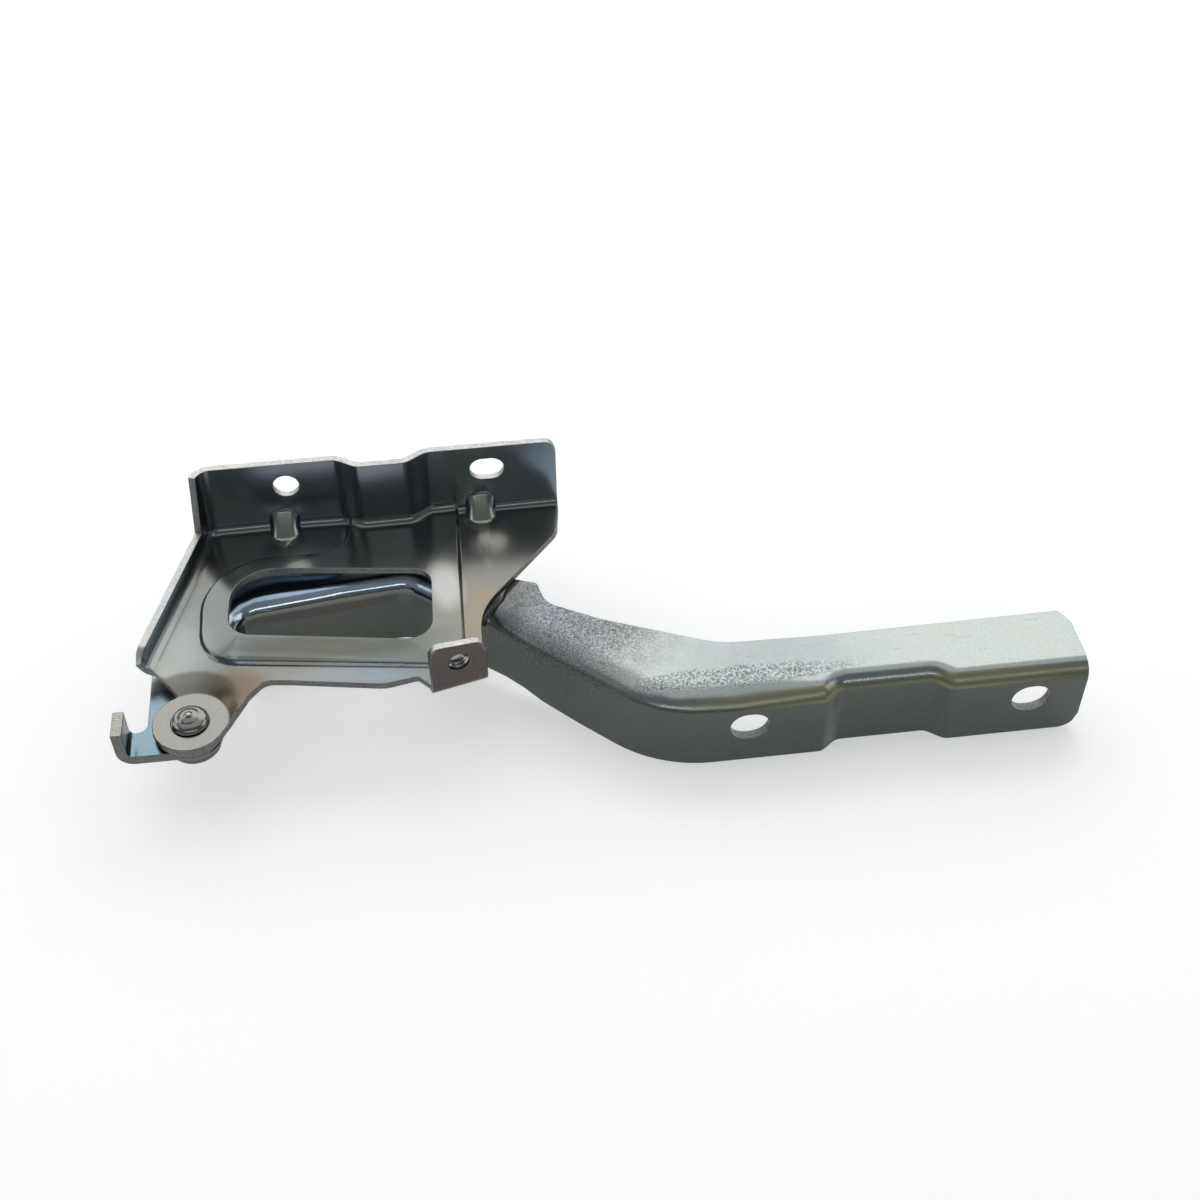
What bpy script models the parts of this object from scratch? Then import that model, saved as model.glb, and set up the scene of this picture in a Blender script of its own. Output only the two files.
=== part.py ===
# Bonnet hinge of a car, lying on its side as it would on a bench.
# Two stamped steel arms turn on one rivet: the body bracket is bolted to the car
# and the gooseneck arm carries the bonnet.
# +X runs along the body flange, +Y points at the car body and +Z is the pivot axis.
# The origin is on the pivot axis, at the flat face of the rivet's lower head.

from math import ceil, cos, pi, radians, sin, sqrt, tan

import bmesh
import bpy
from mathutils import Matrix, Vector
from mathutils.geometry import delaunay_2d_cdt

# All sizes are in millimetres. This factor turns them into metres.
metre = 0.001

# Gap left between pieces that touch on the real hinge.
fit = 0.3

# Body bracket sheet and its web, whose top face is the level zero of the drawing.
bracketSheet = 2.5
bracketBend = 3.0
bodyReach = 86.0
flangeRight = 126.0
flangeHeight = 28.0
flangeCorner = 4.5
cornerX = 3.9
cornerRadius = 5.0
returnDepth = 4.5
returnStep = 1.5
stiffenerHeight = 6.5
stiffenerEnd = (-15.3, 22.0)
stiffenerCurl = 5.0
stiffenerLay = radians(35.0)

# Middle of the body flange, set forward between its two bolt pads.
joggleDepth = 4.7
joggleLeft = 48.5
joggleRight = 82.5
joggleRamp = 10.0

# Bolt holes of the body flange, and the two gussets pressed across its bend.
roundHoleX = 32.1
roundHoleRadius = 4.5
slotHoleInset = 24.3
slotHoleRadius = 4.5
slotHoleLength = 12.0
slotHoleX = flangeRight - slotHoleInset
bodyHoleHeight = 18.2
gussetLeftX = 29.5
gussetRightInset = 27.4
gussetWidth = 10.8
gussetLeg = 8.3
gussetFlatness = 0.9
gussetSquare = 3.0
gussetRightX = flangeRight - gussetRightInset

# Raised panel round the window, as the middle line of its ramp.
plateauHeight = 1.6
plateauRamp = 1.6
plateauLine = [
    (51.2, 99.0, 0.0),
    (51.2, 68.2, 10.0),
    (1.5, 71.5, 24.0),
    (2.5, 22.5, 15.0),
    (88.0, 9.6, 6.0),
    (90.3, 99.0, 0.0),
]
windowLine = [
    (79.3, 54.6, 7.0),
    (12.0, 63.6, 14.0),
    (11.0, 32.4, 9.0),
    (78.4, 21.2, 8.0),
]

# Free edges of the bracket's web, from the seat to the tab and from the tab to the
# flange. The notch beside the tab lets its bend form cleanly.
bracketNearLine = [
    (18.4, 6.2, 6.0),
    (23.6, 12.4, 5.0),
    (32.0, 11.2, 8.0),
    (62.0, 5.7, 10.0),
]
bracketRightLine = [
    (94.6, 35.2, 25.0),
    (124.3, 70.6, 8.0),
]
tabNotchWidth = 3.6
tabNotchDepth = 3.9
tabNotchRadius = 1.4

# Round seat of the rivet, sunk below the web.
seatDepth = 2.5
seatRadius = 12.0
seatRamp = 9.0
lobeStart = radians(111.7)
lobeEnd = radians(338.0)

# Threaded tab, bent up at the near right corner of the bracket.
tabLeft = (76.6, 1.9)
tabWidth = 18.5
tabTurn = radians(14.0)
tabBend = 2.0
tabHeightLeft = 20.0
tabHeightRight = 17.5
tabCorner = 3.5
tabHoleRadius = 3.4
tabHoleHeight = 11.2

# Collar drawn out of the tab behind its hole, so that the thread has enough turns.
collarWall = 1.7
collarTaper = 0.4
collarHeight = 2.2

# Rivet, bush and washers of the pivot.
shankRadius = 4.5
domeRadius = 6.2
domeHeight = 3.0
nippleRadius = 1.5
nippleTopRadius = 0.9
nippleHeight = 0.6
nippleSink = 0.1
bushWall = 1.4
thrustRadius = 10.0
thrustSheet = 0.6
backingRadius = 9.0
backingSheet = 1.0
lowerHeadRadius = 8.0
lowerHeadHeight = 3.0
lowerHeadChamfer = 0.6

# Gooseneck arm: sheet, bends and the line of its hanging flange's outer face. The
# bend reaches further into the web along the arm's curve, as a soft shoulder.
armSheet = 3.5
armBend = 2.4
armShoulder = 4.5
armShoulderLeft = 76.0
armShoulderRight = 206.0
armShoulderRamp = 30.0
armEnd = 290.0
armPadY = -14.3
armFlangeLine = [
    (15.0, 17.0, 0.0),
    (12.4, 52.0, 6.5),
    (70.2, 59.0, 9.0),
    (148.4, armPadY, 45.0),
]
armJoggleDepth = 4.4
armJoggleLeft = 202.0
armJoggleRight = 246.0
armJoggleRamp = 8.0
armJoggleLead = 2.0
armFarLine = [
    (armEnd, 6.5, 2.0),
    (armEnd - 2.8, 12.2, 2.0),
    (205.0, 11.2, 60.0),
    (172.0, 12.2, 30.0),
    (134.5, 28.4, 20.0),
    (117.0, 38.6, 8.0),
    (114.8, 48.4, 1.6),
    (97.0, 55.5, 12.0),
    (82.0, 76.0, 18.0),
    (10.0, 76.0, 24.0),
    (-14.4, 33.0, 14.0),
    (-14.2, 1.6, 3.0),
]
armFlangeDepths = [
    (72.0, 26.5),
    (95.5, 21.5),
    (104.0, 25.2),
    (113.0, 28.2),
    (125.0, 29.2),
]
armNeckWall = 1.0
armNeckRun = 3.0
armNeckSlope = 1.0
armFlangeCorner = 6.5

# Step that lifts the arm's web by one sheet outside the bracket.
armStepPoint = (94.9, 30.0)
armStepTurn = radians(74.0)
armStepRamp = 5.0

# Bolt holes of the arm flange.
armHoleLeftX = 178.0
armHoleRightX = 272.0
armHoleDrop = 12.9
armHoleRadius = 5.75
armHoleLength = 13.0

# Tail of the arm: a strip past the pivot with an upturned stop.
stopX = -19.3
stopFar = 0.8
stopNear = -9.3
stopHeight = 10.7
stopBend = 2.0
eyeLine = [
    (4.6, -9.3, 7.0),
    (11.6, 2.0, 12.0),
    (15.4, 12.6, 2.5),
]

# Levels of the pivot's stack, worked down from the web of the bracket.
seatTop = -seatDepth
thrustTop = seatTop - bracketSheet - fit
armTop = thrustTop - thrustSheet - fit
backingTop = armTop - armSheet - fit
lowerHeadTop = backingTop - backingSheet - fit
pivotBase = lowerHeadTop - lowerHeadHeight
bushRadius = shankRadius + fit + bushWall
eyeRadius = bushRadius + fit

# Facets of the curves: turn per chord, rows across a bend, columns along a formed
# edge where it changes and where it is straight, and facets of a full circle.
arcStep = radians(15.0)
arcChord = 4.0
bendSteps = 7
gussetSteps = 12
columnStep = 1.3
straightStep = 8.0
roundSteps = 40
domeSteps = 6


def ease(t):
    t = min(max(t, 0.0), 1.0)
    return t * t * (3.0 - 2.0 * t)


def outward(direction):
    # The side of a counter-clockwise outline that faces away from the sheet.
    return Vector((direction.y, -direction.x)).normalized()


def roundCorner(before, corner, after, radius):
    # Arc of the given radius between the two straight runs that meet at a corner.
    corner = Vector(corner)
    back = (Vector(before) - corner).normalized()
    ahead = (Vector(after) - corner).normalized()
    opening = back.angle(ahead)
    if radius <= 0.0 or opening > pi - 0.01:
        return [corner]
    reach = radius / tan(opening / 2.0)
    centre = corner + (back + ahead).normalized() * (radius / sin(opening / 2.0))
    first = corner + back * reach - centre
    turn = pi - opening
    if back.cross(ahead) > 0.0:
        turn = -turn
    steps = max(2, ceil(abs(turn) / arcStep), ceil(abs(turn) * radius / arcChord))
    return [centre + Matrix.Rotation(turn * i / steps, 2) @ first for i in range(steps + 1)]


def roundedLoop(corners):
    points = []
    for i, (x, y, radius) in enumerate(corners):
        before = corners[i - 1][:2]
        after = corners[(i + 1) % len(corners)][:2]
        points += roundCorner(before, (x, y), after, radius)
    return points


def roundedPath(corners):
    points = [Vector(corners[0][:2])]
    for i in range(1, len(corners) - 1):
        x, y, radius = corners[i]
        points += roundCorner(corners[i - 1][:2], (x, y), corners[i + 1][:2], radius)
    points.append(Vector(corners[-1][:2]))
    return points


def pathNormals(points):
    normals = []
    for i in range(len(points)):
        before = points[max(i - 1, 0)]
        after = points[min(i + 1, len(points) - 1)]
        normals.append(outward(after - before))
    return normals


def offsetPath(points, distance):
    return [p + n * distance for p, n in zip(points, pathNormals(points))]


def nearestOnPath(point, path):
    # Distance from the path, and the run along the path up to the nearest point.
    best = (1e9, 0.0)
    run = 0.0
    for a, b in zip(path, path[1:]):
        span = b - a
        length = span.length
        if length > 0.0:
            t = min(max((point - a).dot(span) / (length * length), 0.0), 1.0)
            distance = (point - (a + span * t)).length
            if distance < best[0]:
                best = (distance, run + t * length)
        run += length
    return best


def isInside(point, loop):
    inside = False
    for a, b in zip(loop, loop[1:] + loop[:1]):
        if (a.y > point.y) != (b.y > point.y):
            crossing = a.x + (point.y - a.y) / (b.y - a.y) * (b.x - a.x)
            if point.x < crossing:
                inside = not inside
    return inside


# A formed edge is a list of stations along the sheet's outline. Each station has the
# foot of the bend, the outward normal, the bend's height and its reach along the web
# on the drawn face, its angle, the level where the wall ends, and how flat it is.
def station(face, normal, radius, angle, end, flatness=0.0, shoulder=0.0):
    reach = radius + shoulder
    return {"foot": face - normal * reach, "normal": normal, "radius": radius,
            "reach": reach, "angle": angle, "end": end, "flatness": flatness}


def stationAt(stations, run):
    travelled = 0.0
    for a, b in zip(stations, stations[1:]):
        length = (b["foot"] - a["foot"]).length
        if run <= travelled + length + 1e-6:
            t = min(max((run - travelled) / length, 0.0), 1.0) if length > 0.0 else 0.0
            blend = {key: a[key] * (1.0 - t) + b[key] * t for key in a}
            blend["normal"] = blend["normal"].normalized()
            return blend
        travelled += length
    return stations[-1]


def sectionPoint(here, level, rise, spread, angle, along):
    # One point of a bend: rise is +1 for a wall that stands up and -1 for one that
    # hangs down, and spread is how far the skin lies behind the drawn face.
    radius = here["radius"] + rise * spread
    reach = here["reach"] + rise * spread
    final = here["angle"]
    out = reach * sin(angle)
    drop = here["radius"] - radius * cos(angle)
    share = angle / final if final > 0.0 else 0.0
    chordOut = reach * sin(final) * share
    chordDrop = (here["radius"] - radius) * (1.0 - share)
    chordDrop += (here["radius"] - radius * cos(final)) * share
    flat = here["flatness"]
    out = out * (1.0 - flat) + chordOut * flat + along * cos(final)
    drop = drop * (1.0 - flat) + chordDrop * flat + along * sin(final)
    place = here["foot"] + here["normal"] * out
    return Vector((place.x, place.y, level + rise * drop))


def wallReach(here, level, rise):
    # Length of the straight wall between the bend and the level where it ends.
    bent = level + rise * here["radius"] * (1.0 - cos(here["angle"]))
    return max(rise * (here["end"] - bent), 0.2) / sin(here["angle"])


def triangulate(outline, loops, guides):
    # Flat blank of the sheet, with its edges running along every loop and guide.
    points = []
    edges = []
    for loop in [outline] + loops:
        first = len(points)
        points += loop
        edges += [(first + i, first + (i + 1) % len(loop)) for i in range(len(loop))]
    for guide in guides:
        first = len(points)
        points += guide
        edges += [(first + i, first + i + 1) for i in range(len(guide) - 1)]
    flat, _, faces, _, _, _ = delaunay_2d_cdt(points, edges, [], 0, 1e-5)
    kept = []
    for face in faces:
        middle = sum((flat[i] for i in face), Vector((0.0, 0.0))) / len(face)
        if isInside(middle, outline) and not any(isInside(middle, loop) for loop in loops):
            kept.append(face)
    return flat, kept


def stampSheet(name, outline, loops, guides, level, sheet, rims):
    # Cuts the blank, gives it its levels, bends up each rim and thickens the sheet.
    flat, faces = triangulate(outline, loops, guides)
    bm = bmesh.new()
    behind = {}

    def addVertex(face, back):
        vertex = bm.verts.new(face * metre)
        behind[vertex] = back * metre
        return vertex

    blank = {}
    for face in faces:
        for i in face:
            if i not in blank:
                z = level(flat[i])
                front = Vector((flat[i].x, flat[i].y, z))
                blank[i] = addVertex(front, front - Vector((0.0, 0.0, sheet)))
    for face in faces:
        bm.faces.new([blank[i] for i in face])

    for rim in rims:
        path = [s["foot"] for s in rim["stations"]]
        onRim = []
        for i, vertex in blank.items():
            distance, run = nearestOnPath(flat[i], path)
            if distance < 1e-4:
                onRim.append((run, i))
        onRim.sort()
        columns = []
        for run, i in onRim:
            here = stationAt(rim["stations"], run)
            z = level(flat[i])
            column = [blank[i]]
            rows = [(here["angle"] * k / bendSteps, 0.0) for k in range(1, bendSteps + 1)]
            rows.append((here["angle"], wallReach(here, z, rim["rise"])))
            for angle, along in rows:
                front = sectionPoint(here, z, rim["rise"], 0.0, angle, along)
                back = sectionPoint(here, z, rim["rise"], sheet, angle, along)
                column.append(addVertex(front, back))
            columns.append(column)
        for left, right in zip(columns, columns[1:]):
            for k in range(len(left) - 1):
                bm.faces.new((left[k], right[k], right[k + 1], left[k + 1]))

    bmesh.ops.recalc_face_normals(bm, faces=bm.faces)
    skin = list(bm.verts)
    rimEdges = [edge for edge in bm.edges if edge.is_boundary]
    skinFaces = list(bm.faces)
    twin = {vertex: bm.verts.new(behind[vertex]) for vertex in skin}
    for face in skinFaces:
        bm.faces.new([twin[v] for v in reversed(face.verts)])
    for edge in rimEdges:
        a, b = edge.verts
        bm.faces.new((a, b, twin[b], twin[a]))
    bmesh.ops.recalc_face_normals(bm, faces=bm.faces)
    bmesh.ops.triangulate(bm, faces=bm.faces)
    return objectFrom(name, bm)


def objectFrom(name, bm):
    mesh = bpy.data.meshes.new(name)
    bm.to_mesh(mesh)
    bm.free()
    mesh.shade_smooth()
    mesh.set_sharp_from_angle(angle=radians(30.0))
    return bpy.data.objects.new(name, mesh)


def addPart(thing, material):
    parts.objects.link(thing)
    thing.parent = pivot
    thing.data.materials.append(material)
    return thing


def steel(name, colour, roughness):
    material = bpy.data.materials.new(name)
    material.use_nodes = True
    shader = material.node_tree.nodes["Principled BSDF"]
    shader.inputs["Base Color"].default_value = (*colour, 1.0)
    shader.inputs["Metallic"].default_value = 1.0
    shader.inputs["Roughness"].default_value = roughness
    return material


def addCutter(thing):
    cutters.objects.link(thing)
    thing.parent = pivot
    thing.hide_render = True
    thing.display_type = "WIRE"
    return thing


def slotCutter(name, centre, normal, radius, length, depth):
    # Prism with round ends along the horizontal of the wall that it goes through.
    # Its length is the whole length of the hole, so a round hole is twice its radius.
    half = max(length / 2.0 - radius, 0.0)
    outline = []
    for side in (1.0, -1.0):
        for i in range(roundSteps // 2 + 1):
            angle = pi * i / (roundSteps // 2) - pi / 2.0
            outline.append(Vector((side * (half + radius * cos(angle)), side * radius * sin(angle))))
    bm = bmesh.new()
    ring = [bm.verts.new((p.x * metre, p.y * metre, -depth / 2.0 * metre)) for p in outline]
    bmesh.ops.remove_doubles(bm, verts=ring, dist=1e-7)
    base = bm.faces.new(bm.verts)
    lifted = bmesh.ops.extrude_face_region(bm, geom=[base])["geom"]
    top = [item for item in lifted if isinstance(item, bmesh.types.BMVert)]
    bmesh.ops.translate(bm, verts=top, vec=(0.0, 0.0, depth * metre))
    bmesh.ops.recalc_face_normals(bm, faces=bm.faces)
    cutter = addCutter(objectFrom(name, bm))
    along = Vector((-normal.y, normal.x, 0.0)).normalized()
    across = Vector((normal.x, normal.y, 0.0))
    turn = Matrix((along, Vector((0.0, 0.0, 1.0)), across)).transposed()
    if abs(normal.z) > 0.5:
        turn = Matrix.Identity(3)
    cutter.matrix_local = Matrix.Translation(Vector(centre) * metre) @ turn.to_4x4()
    return cutter


def combine(part, tool, operation):
    modifier = part.modifiers.new(tool.name, "BOOLEAN")
    modifier.operation = operation
    modifier.solver = "EXACT"
    modifier.object = tool


def cut(part, cutter):
    combine(part, cutter, "DIFFERENCE")


def join(part, addition):
    combine(part, addition, "UNION")


def turnedPart(name, profile, material):
    # Profile of radius and height, running down the outer side, spun about the pivot.
    mesh = bpy.data.meshes.new(name)
    points = [(radius * metre, 0.0, height * metre) for radius, height in profile]
    closed = profile[0][0] > 0.0
    edges = [(i, i + 1) for i in range(len(points) - 1)]
    if closed:
        edges.append((len(points) - 1, 0))
    mesh.from_pydata(points, edges, [])
    thing = addPart(bpy.data.objects.new(name, mesh), material)
    screw = thing.modifiers.new("turn", "SCREW")
    screw.steps = roundSteps
    screw.render_steps = roundSteps
    screw.use_merge_vertices = True
    screw.merge_threshold = 0.00001
    screw.use_smooth_shade = True
    return thing


def washer(name, inner, outer, top, thickness, material):
    profile = [(inner, top), (outer, top), (outer, top - thickness), (inner, top - thickness)]
    return turnedPart(name, profile, material)


# Body bracket: how far each point of the flange stands forward of its bolt pads.
def joggle(x, left, right, ramp):
    return ease((x - left) / ramp) * ease((right - x) / ramp)


def spread(start, end, step):
    count = max(1, ceil(abs(end - start) / step - 1e-6))
    return [start + (end - start) * i / count for i in range(count + 1)]


def bodyFlangeFace():
    # Front face of the body flange from its right end to the corner, then down the
    # left stiffener to its curled end.
    xs = spread(flangeRight, flangeRight - flangeCorner, columnStep)
    for middle in (gussetRightX, gussetLeftX):
        turns = [pi * i / gussetSteps for i in range(gussetSteps + 1)]
        xs += [middle + gussetWidth / 2.0 * cos(turn) for turn in turns]
    xs += spread(joggleRight, joggleRight - joggleRamp, columnStep)
    xs += spread(flangeRight - flangeCorner, gussetRightX + gussetWidth / 2.0, straightStep)
    xs += spread(joggleLeft + joggleRamp, joggleLeft, columnStep)
    corner = Vector((cornerX, bodyReach))
    arc = roundCorner((flangeRight, bodyReach), corner, stiffenerEnd, cornerRadius)
    straight = []
    apart = columnStep / 10.0
    for x in sorted(set(xs), reverse=True):
        if x > arc[0].x + apart and (not straight or straight[-1].x - x > apart):
            setBack = joggleDepth * joggle(x, joggleLeft, joggleRight, joggleRamp)
            straight.append(Vector((x, bodyReach - setBack)))
    end = Vector(stiffenerEnd)
    down = (end - arc[-1]).normalized()
    drop = [arc[-1] + down * returnDepth, arc[-1] + down * (returnDepth + returnStep)]
    curl = [end - down * d for d in spread(stiffenerCurl, 0.0, columnStep)]
    return straight + arc + drop + curl


def bodyFlangeStations():
    face = bodyFlangeFace()
    normals = pathNormals(face)
    end = Vector(stiffenerEnd)
    returnFoot = bodyReach - returnDepth - cornerRadius / 2.0
    stations = []
    for place, normal in zip(face, normals):
        radius = bracketBend
        flatness = 0.0
        top = flangeHeight
        angle = pi / 2.0
        for middle in (gussetLeftX, gussetRightX):
            off = min(abs(place.x - middle) / gussetWidth * 2.0, 1.0)
            bump = sqrt(1.0 - off ** gussetSquare)
            radius += (gussetLeg - bracketBend) * bump
            flatness += gussetFlatness * bump
        fromEnd = max(flangeRight - place.x, 0.0)
        if fromEnd < flangeCorner:
            top -= flangeCorner - sqrt(flangeCorner ** 2 - (flangeCorner - fromEnd) ** 2)
        if place.y < returnFoot:
            top = stiffenerHeight
            curl = ease((stiffenerCurl - (place - end).length) / stiffenerCurl)
            angle -= stiffenerLay * curl
            top -= (stiffenerHeight - bracketBend) * curl
        stations.append(station(place, normal, radius, angle, top, flatness))
    return stations


def tabStations():
    along = Vector((cos(tabTurn), sin(tabTurn)))
    normal = outward(along)
    stations = []
    runs = spread(0.0, tabCorner, columnStep) + spread(tabWidth - tabCorner, tabWidth, columnStep)
    for run in runs:
        top = tabHeightLeft + (tabHeightRight - tabHeightLeft) * run / tabWidth
        fromEnd = max(min(run, tabWidth - run), 0.0)
        if fromEnd < tabCorner:
            top -= tabCorner - sqrt(tabCorner ** 2 - (tabCorner - fromEnd) ** 2)
        place = Vector(tabLeft) + along * run
        stations.append(station(place, normal, tabBend, pi / 2.0, top))
    return stations


# The ramp's middle line, closed well behind the body flange.
plateauPath = roundedPath(plateauLine)


def webLevel(point):
    distance, _ = nearestOnPath(point, plateauPath)
    if not isInside(point, plateauPath):
        distance = -distance
    raised = plateauHeight * ease(0.5 + distance / plateauRamp)
    out = min(max((point.length - seatRadius) / seatRamp, 0.0), 1.0)
    sunk = seatDepth * (1.0 - sin(pi / 2.0 * out))
    return raised - sunk


def circlePoints(radius, start, end):
    return [Vector((radius * cos(a), radius * sin(a))) for a in spread(start, end, arcStep)]


def makeBracket(material):
    bodyRim = bodyFlangeStations()
    tabRim = tabStations()
    bodyFoot = [s["foot"] for s in bodyRim]
    tabFoot = [s["foot"] for s in tabRim]
    lobe = circlePoints(seatRadius, lobeStart, lobeEnd)
    notch = (tabFoot[0].x - tabNotchWidth, tabFoot[0].y + tabNotchDepth, tabNotchRadius)
    nearEdge = roundedPath([(*lobe[-1], 0.0)] + bracketNearLine + [notch, (*tabFoot[0], 0.0)])
    rightEdge = roundedPath([(*tabFoot[-1], 0.0)] + bracketRightLine + [(*bodyFoot[0], 0.0)])
    outline = bodyFoot + lobe + nearEdge[1:-1] + tabFoot + rightEdge[1:-1]
    windowLoop = roundedLoop(windowLine)
    guides = []
    for share in (-0.5, -0.17, 0.17, 0.5):
        guides.append(offsetPath(plateauPath, -share * plateauRamp))
    guides.append(circlePoints(seatRadius, lobeEnd - 2.0 * pi, lobeStart))
    for share in (0.3, 0.65, 1.0):
        guides.append(circlePoints(seatRadius + seatRamp * share, -pi / 3.0, pi))
    rims = [{"stations": bodyRim, "rise": 1.0}, {"stations": tabRim, "rise": 1.0}]
    bracket = stampSheet("body_bracket", outline, [windowLoop], guides, webLevel,
                         bracketSheet, rims)
    addPart(bracket, material)
    through = 4.0 * (bracketSheet + joggleDepth)
    back = Vector((0.0, 1.0, 0.0))
    cut(bracket, slotCutter("round_hole_cutter", (roundHoleX, bodyReach, bodyHoleHeight), back,
                            roundHoleRadius, 2.0 * roundHoleRadius, through))
    cut(bracket, slotCutter("slot_hole_cutter", (slotHoleX, bodyReach, bodyHoleHeight), back,
                            slotHoleRadius, slotHoleLength, through))
    cut(bracket, slotCutter("seat_hole_cutter", (0.0, 0.0, seatTop), Vector((0.0, 0.0, 1.0)),
                            shankRadius + fit, 2.0 * (shankRadius + fit), through))
    centre, normal = tabHoleFrame()
    join(bracket, makeCollar(centre, normal))
    cut(bracket, slotCutter("tab_hole_cutter", centre, normal, tabHoleRadius,
                            2.0 * tabHoleRadius, through))
    return bracket


def tabHoleFrame():
    along = Vector((cos(tabTurn), sin(tabTurn), 0.0))
    normal = Vector((along.y, -along.x, 0.0))
    centre = Vector((*tabLeft, tabHoleHeight)) + along * tabWidth / 2.0
    return centre, normal


def makeCollar(centre, normal):
    # Short cone that starts inside the tab's sheet and stands behind it.
    bm = bmesh.new()
    root = tabHoleRadius + collarWall
    depth = bracketSheet / 2.0 + collarHeight
    bmesh.ops.create_cone(bm, cap_ends=True, segments=roundSteps, radius1=root * metre,
                          radius2=(root - collarTaper) * metre, depth=depth * metre)
    collar = objectFrom("tab_collar", bm)
    middle = centre + normal * (bracketSheet / 2.0 - depth / 2.0)
    turn = (-normal).to_track_quat("Z", "Y").to_matrix().to_4x4()
    collar.matrix_local = Matrix.Translation(middle * metre) @ turn
    return addCutter(collar)


# Gooseneck arm.
def armLevel(point):
    across = Vector((sin(armStepTurn), -cos(armStepTurn)))
    run = (point - Vector(armStepPoint)).dot(across)
    return armTop + armSheet * ease(run / armStepRamp)


def armFlangeDepth(place):
    depth = armFlangeDepths[0][1]
    for (x0, d0), (x1, d1) in zip(armFlangeDepths, armFlangeDepths[1:]):
        if place.x > x0:
            depth = d0 + (d1 - d0) * min((place.x - x0) / (x1 - x0), 1.0)
    neckStart = armFlangeLine[0]
    neckDepth = 2.0 * armSheet + armBend + armNeckWall + armNeckSlope * (place.y - neckStart[1])
    if place.x < neckStart[0] + armNeckRun:
        depth = min(depth, neckDepth)
    return depth


def armFlangeStations():
    turned = roundedPath(armFlangeLine + [(armJoggleLeft - armJoggleLead, armPadY, 0.0)])
    face = []
    for a, b in zip(turned, turned[1:]):
        length = (b - a).length
        face += [a + (b - a) * (run / length) for run in spread(0.0, length, straightStep)[:-1]]
    face.append(turned[-1])
    xs = spread(armJoggleLeft, armJoggleLeft + armJoggleRamp, columnStep)
    xs += spread(armJoggleRight - armJoggleRamp, armJoggleRight, columnStep)
    xs += spread(armEnd - armFlangeCorner, armEnd, columnStep)
    for x in xs:
        setBack = armJoggleDepth * joggle(x, armJoggleLeft, armJoggleRight, armJoggleRamp)
        face.append(Vector((x, armPadY + setBack)))
    stations = []
    for place, normal in zip(face, pathNormals(face)):
        depth = armFlangeDepth(place)
        fromEnd = max(armEnd - place.x, 0.0)
        if fromEnd < armFlangeCorner:
            lift = armFlangeCorner - sqrt(armFlangeCorner ** 2 - (armFlangeCorner - fromEnd) ** 2)
            depth -= lift
        end = armTop + armSheet - depth
        wide = joggle(place.x, armShoulderLeft, armShoulderRight, armShoulderRamp)
        stations.append(station(place, normal, armSheet + armBend, pi / 2.0, end,
                                shoulder=armShoulder * wide))
    return stations


def stopStations():
    normal = Vector((-1.0, 0.0))
    places = [Vector((stopX, y)) for y in spread(stopFar, stopNear, straightStep)]
    return [station(p, normal, stopBend, pi / 2.0, armTop + stopHeight) for p in places]


def makeArm(material):
    flangeRim = armFlangeStations()
    stopRim = stopStations()
    flangeFoot = [s["foot"] for s in flangeRim]
    stopFoot = [s["foot"] for s in stopRim]
    nearEdge = roundedPath([(*stopFoot[-1], 0.0)] + eyeLine + [(*flangeFoot[0], 0.0)])
    farEdge = roundedPath([(*flangeFoot[-1], 0.0)] + armFarLine + [(*stopFoot[0], 0.0)])
    outline = flangeFoot + farEdge[1:-1] + stopFoot + nearEdge[1:-1]
    guides = []
    along = Vector((cos(armStepTurn), sin(armStepTurn)))
    across = Vector((along.y, -along.x))
    for share in (0.0, 0.25, 0.5, 0.75, 1.0):
        middle = Vector(armStepPoint) + across * armStepRamp * share
        guides.append([middle + along * run for run in (-40.0, 60.0)])
    rims = [{"stations": flangeRim, "rise": -1.0}, {"stations": stopRim, "rise": 1.0}]
    arm = stampSheet("bonnet_arm", outline, [], guides, armLevel, armSheet, rims)
    addPart(arm, material)
    through = 4.0 * armSheet
    front = Vector((0.0, -1.0, 0.0))
    holeLevel = armTop + armSheet - armHoleDrop
    for side, x in (("left", armHoleLeftX), ("right", armHoleRightX)):
        cut(arm, slotCutter("arm_hole_cutter_" + side, (x, armPadY, holeLevel), front,
                            armHoleRadius, armHoleLength, through))
    cut(arm, slotCutter("eye_cutter", (0.0, 0.0, armTop), Vector((0.0, 0.0, 1.0)), eyeRadius,
                        2.0 * eyeRadius, through))
    return arm


# Pivot: rivet, bush and washers.
def makeRivet(material):
    base = seatTop + fit
    crown = domeHeight - nippleSink
    profile = [
        (0.0, base + domeHeight + nippleHeight),
        (nippleTopRadius, base + domeHeight + nippleHeight),
        (nippleRadius, base + crown),
    ]
    for i in range(1, domeSteps + 1):
        angle = pi / 2.0 * i / domeSteps
        radius = nippleRadius + (domeRadius - nippleRadius) * sin(angle)
        profile.append((radius, base + crown * cos(angle)))
    profile += [
        (shankRadius, base),
        (shankRadius, lowerHeadTop),
        (lowerHeadRadius, lowerHeadTop),
        (lowerHeadRadius, pivotBase + lowerHeadChamfer),
        (lowerHeadRadius - lowerHeadChamfer, pivotBase),
        (0.0, pivotBase),
    ]
    return turnedPart("pivot_rivet", profile, material)


for thing in list(bpy.data.objects):
    bpy.data.objects.remove(thing, do_unlink=True)

parts = bpy.data.collections.new("bonnet_hinge")
cutters = bpy.data.collections.new("cutters")
bpy.context.scene.collection.children.link(parts)
bpy.context.scene.collection.children.link(cutters)

# Everything hangs on the pivot, drawn from the web's level down to the rivet's base.
pivot = bpy.data.objects.new("pivot_axis", None)
parts.objects.link(pivot)
pivot.location = (0.0, 0.0, -pivotBase * metre)

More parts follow.
